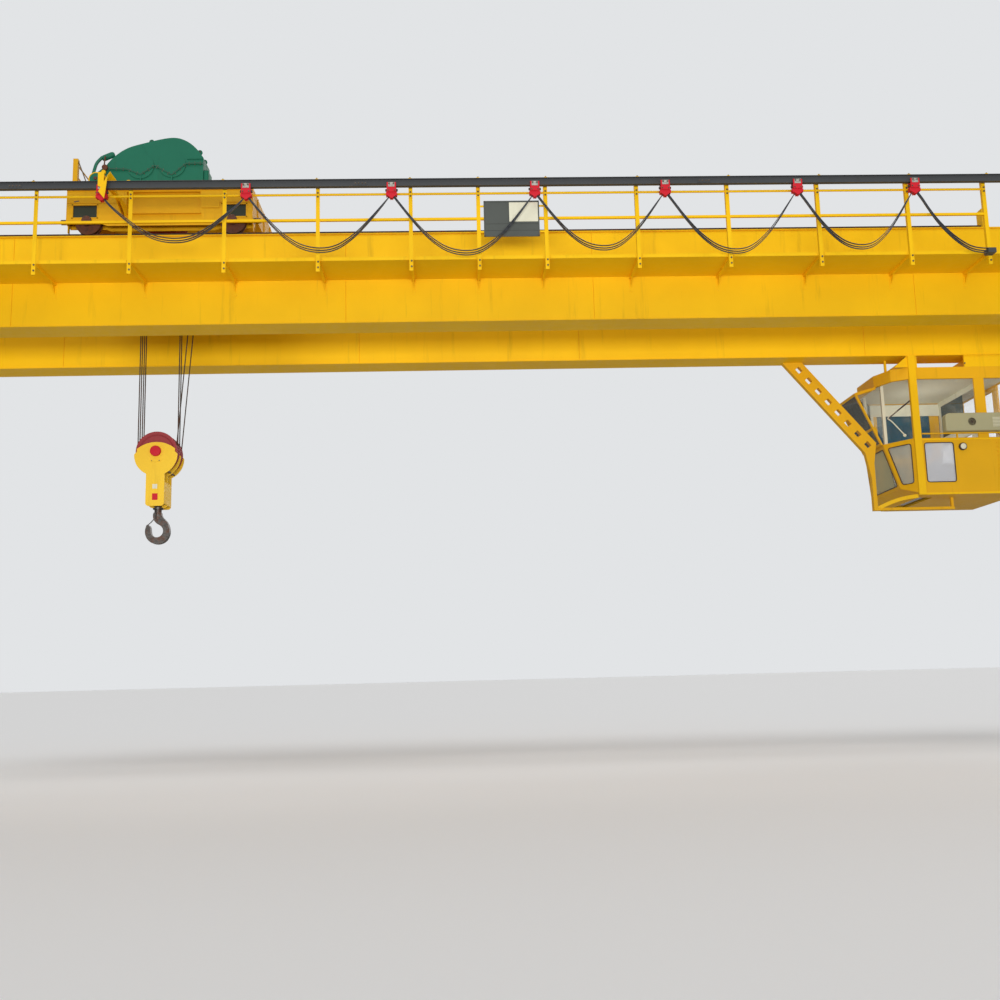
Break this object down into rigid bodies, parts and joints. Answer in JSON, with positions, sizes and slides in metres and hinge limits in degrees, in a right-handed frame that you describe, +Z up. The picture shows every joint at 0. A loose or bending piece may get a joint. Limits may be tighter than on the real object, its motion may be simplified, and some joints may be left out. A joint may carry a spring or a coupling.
{
  "type": "double girder overhead crane",
  "caption": "Double-girder overhead travelling crane with a trolley hoist, hook block, festoon cables, walkways and a hanging driver's cabin.",
  "frame": {"origin": "mid-span, midway between the girders, level with the top of the runway rails", "axes": "+X along the bridge towards the cabin end, +Y along the runway, +Z up"},
  "size_m": [23.05, 6.114, 7.0743],
  "materials": {
    "girder_paint": "satin",
    "rail_steel": "worn",
    "track_steel": "satin",
    "machine_green": "satin",
    "carrier_red": "satin",
    "sheave_red": "worn",
    "wheel_steel": "worn",
    "sign_green": "satin",
    "buffer_rubber": "matte",
    "cable_sheath": "matte",
    "rope_steel": "oiled",
    "glass": "clear",
    "cream_panel": "satin",
    "hook_steel": "worn",
    "seat_vinyl": "matte"
  },
  "bodies": {
    "bridge": {"near_girder_top_flange": "girder_paint", "near_girder_webs": "girder_paint", "near_girder_bottom_flange": "girder_paint", "far_girder_top_flange": "girder_paint", "far_girder_webs": "girder_paint", "far_girder_bottom_flange": "girder_paint", "trolley_rails": "rail_steel", "rail_end_stops": "girder_paint", "left_end_truck": "girder_paint", "right_end_truck": "girder_paint", "runway_wheels": "wheel_steel", "bridge_buffers": "buffer_rubber", "bridge_drives": "machine_green", "near_walkway": "girder_paint", "far_walkway": "girder_paint", "near_handrail": "girder_paint", "far_handrail": "girder_paint", "sign_board": "sign_green", "festoon_track": "track_steel", "festoon_arms": "girder_paint", "cable_anchor": "track_steel", "festoon_cables": "cable_sheath", "cabin_body": "girder_paint", "cabin_roof": "girder_paint", "cabin_lining": "cream_panel", "cabin_frame": "girder_paint", "cabin_hangers": "girder_paint", "cabin_brace": "girder_paint", "cabin_seat": "seat_vinyl", "cabin_glass": "glass", "cabin_door": "girder_paint", "cabin_air_unit": "cream_panel"},
    "trolley": {"trolley_frame": "girder_paint", "trolley_deck": "girder_paint", "trolley_buffers": "buffer_rubber", "trolley_drive": "machine_green", "gear_reducer": "machine_green", "hoist_motor": "machine_green", "hoist_brake": "girder_paint", "hoist_drum": "girder_paint", "upper_sheaves": "sheave_red", "sheave_stands": "girder_paint", "hoist_ropes": "rope_steel", "trolley_handrail": "girder_paint", "tow_arm": "girder_paint"},
    "left_wheelset": {"left_wheelset": "wheel_steel"},
    "right_wheelset": {"right_wheelset": "wheel_steel"},
    "hook_block": {"hook_block": "girder_paint"},
    "crane_hook": {"crane_hook": "hook_steel"},
    "block_sheave_1": {"block_sheave_1": "sheave_red"},
    "block_sheave_2": {"block_sheave_2": "sheave_red"},
    "block_sheave_3": {"block_sheave_3": "sheave_red"},
    "block_sheave_4": {"block_sheave_4": "sheave_red"},
    "cable_carrier_1": {"cable_carrier_1": "carrier_red"},
    "cable_carrier_2": {"cable_carrier_2": "carrier_red"},
    "cable_carrier_3": {"cable_carrier_3": "carrier_red"},
    "cable_carrier_4": {"cable_carrier_4": "carrier_red"},
    "cable_carrier_5": {"cable_carrier_5": "carrier_red"},
    "cable_carrier_6": {"cable_carrier_6": "carrier_red"},
    "tow_carrier": {"tow_carrier": "carrier_red"}
  },
  "joints": [
    {"name": "trolley_travel", "type": "slide", "parent": "bridge", "child": "trolley", "axis": [1, 0, 0], "range_m": [-3.5, 12.4]},
    {"name": "hoist", "type": "slide", "parent": "trolley", "child": "hook_block", "axis": [0, 0, 1], "range_m": [-3.4, 2.6], "deforming": ["hoist_ropes"]},
    {"name": "hook_swivel", "type": "hinge", "parent": "hook_block", "child": "crane_hook", "pos_m": [-5.3, 0, -3.6], "axis": [0, 0, 1], "continuous": true},
    {"name": "left_wheel_roll", "type": "hinge", "parent": "trolley", "child": "left_wheelset", "pos_m": [-6.265, 0, 1.2843], "axis": [0, 1, 0], "continuous": true},
    {"name": "right_wheel_roll", "type": "hinge", "parent": "trolley", "child": "right_wheelset", "pos_m": [-3.805, 0, 1.2843], "axis": [0, 1, 0], "continuous": true},
    {"name": "block_sheave_1_turn", "type": "hinge", "parent": "hook_block", "child": "block_sheave_1", "pos_m": [-5.3, 0, -2.52], "axis": [0, 1, 0], "continuous": true},
    {"name": "block_sheave_2_turn", "type": "hinge", "parent": "hook_block", "child": "block_sheave_2", "pos_m": [-5.3, 0, -2.52], "axis": [0, 1, 0], "continuous": true},
    {"name": "block_sheave_3_turn", "type": "hinge", "parent": "hook_block", "child": "block_sheave_3", "pos_m": [-5.3, 0, -2.52], "axis": [0, 1, 0], "continuous": true},
    {"name": "block_sheave_4_turn", "type": "hinge", "parent": "hook_block", "child": "block_sheave_4", "pos_m": [-5.3, 0, -2.52], "axis": [0, 1, 0], "continuous": true},
    {"name": "cable_carrier_6_travel", "type": "slide", "parent": "bridge", "child": "cable_carrier_6", "axis": [1, 0, 0], "range_m": [-0.1998, 0.7026], "deforming": ["festoon_cables"]},
    {"name": "cable_carrier_5_travel", "type": "slide", "parent": "cable_carrier_6", "child": "cable_carrier_5", "axis": [1, 0, 0], "range_m": [-0.4819, 1.702]},
    {"name": "cable_carrier_4_travel", "type": "slide", "parent": "cable_carrier_5", "child": "cable_carrier_4", "axis": [1, 0, 0], "range_m": [-0.5466, 1.9314]},
    {"name": "cable_carrier_3_travel", "type": "slide", "parent": "cable_carrier_4", "child": "cable_carrier_3", "axis": [1, 0, 0], "range_m": [-0.5326, 1.8818]},
    {"name": "cable_carrier_2_travel", "type": "slide", "parent": "cable_carrier_3", "child": "cable_carrier_2", "axis": [1, 0, 0], "range_m": [-0.5861, 2.0716]},
    {"name": "cable_carrier_1_travel", "type": "slide", "parent": "cable_carrier_2", "child": "cable_carrier_1", "axis": [1, 0, 0], "range_m": [-0.5889, 2.0815]},
    {"name": "tow_carrier_travel", "type": "slide", "parent": "cable_carrier_1", "child": "tow_carrier", "axis": [1, 0, 0], "range_m": [-0.5781, 2.043]}
  ],
  "couplings": [
    {"joint": "left_wheel_roll", "follows": "trolley_travel", "rad_per_m": 4.9925},
    {"joint": "right_wheel_roll", "follows": "trolley_travel", "rad_per_m": 4.9925},
    {"joint": "block_sheave_1_turn", "follows": "hoist", "rad_per_m": 3.012},
    {"joint": "block_sheave_2_turn", "follows": "hoist", "rad_per_m": -9.0361},
    {"joint": "block_sheave_3_turn", "follows": "hoist", "rad_per_m": 9.0361},
    {"joint": "block_sheave_4_turn", "follows": "hoist", "rad_per_m": -3.012},
    {"joint": "cable_carrier_6_travel", "follows": "trolley_travel", "ratio": 0.0565},
    {"joint": "cable_carrier_5_travel", "follows": "trolley_travel", "ratio": 0.1371},
    {"joint": "cable_carrier_4_travel", "follows": "trolley_travel", "ratio": 0.1556},
    {"joint": "cable_carrier_3_travel", "follows": "trolley_travel", "ratio": 0.1516},
    {"joint": "cable_carrier_2_travel", "follows": "trolley_travel", "ratio": 0.1669},
    {"joint": "cable_carrier_1_travel", "follows": "trolley_travel", "ratio": 0.1677},
    {"joint": "tow_carrier_travel", "follows": "trolley_travel", "ratio": 0.1646}
  ]
}
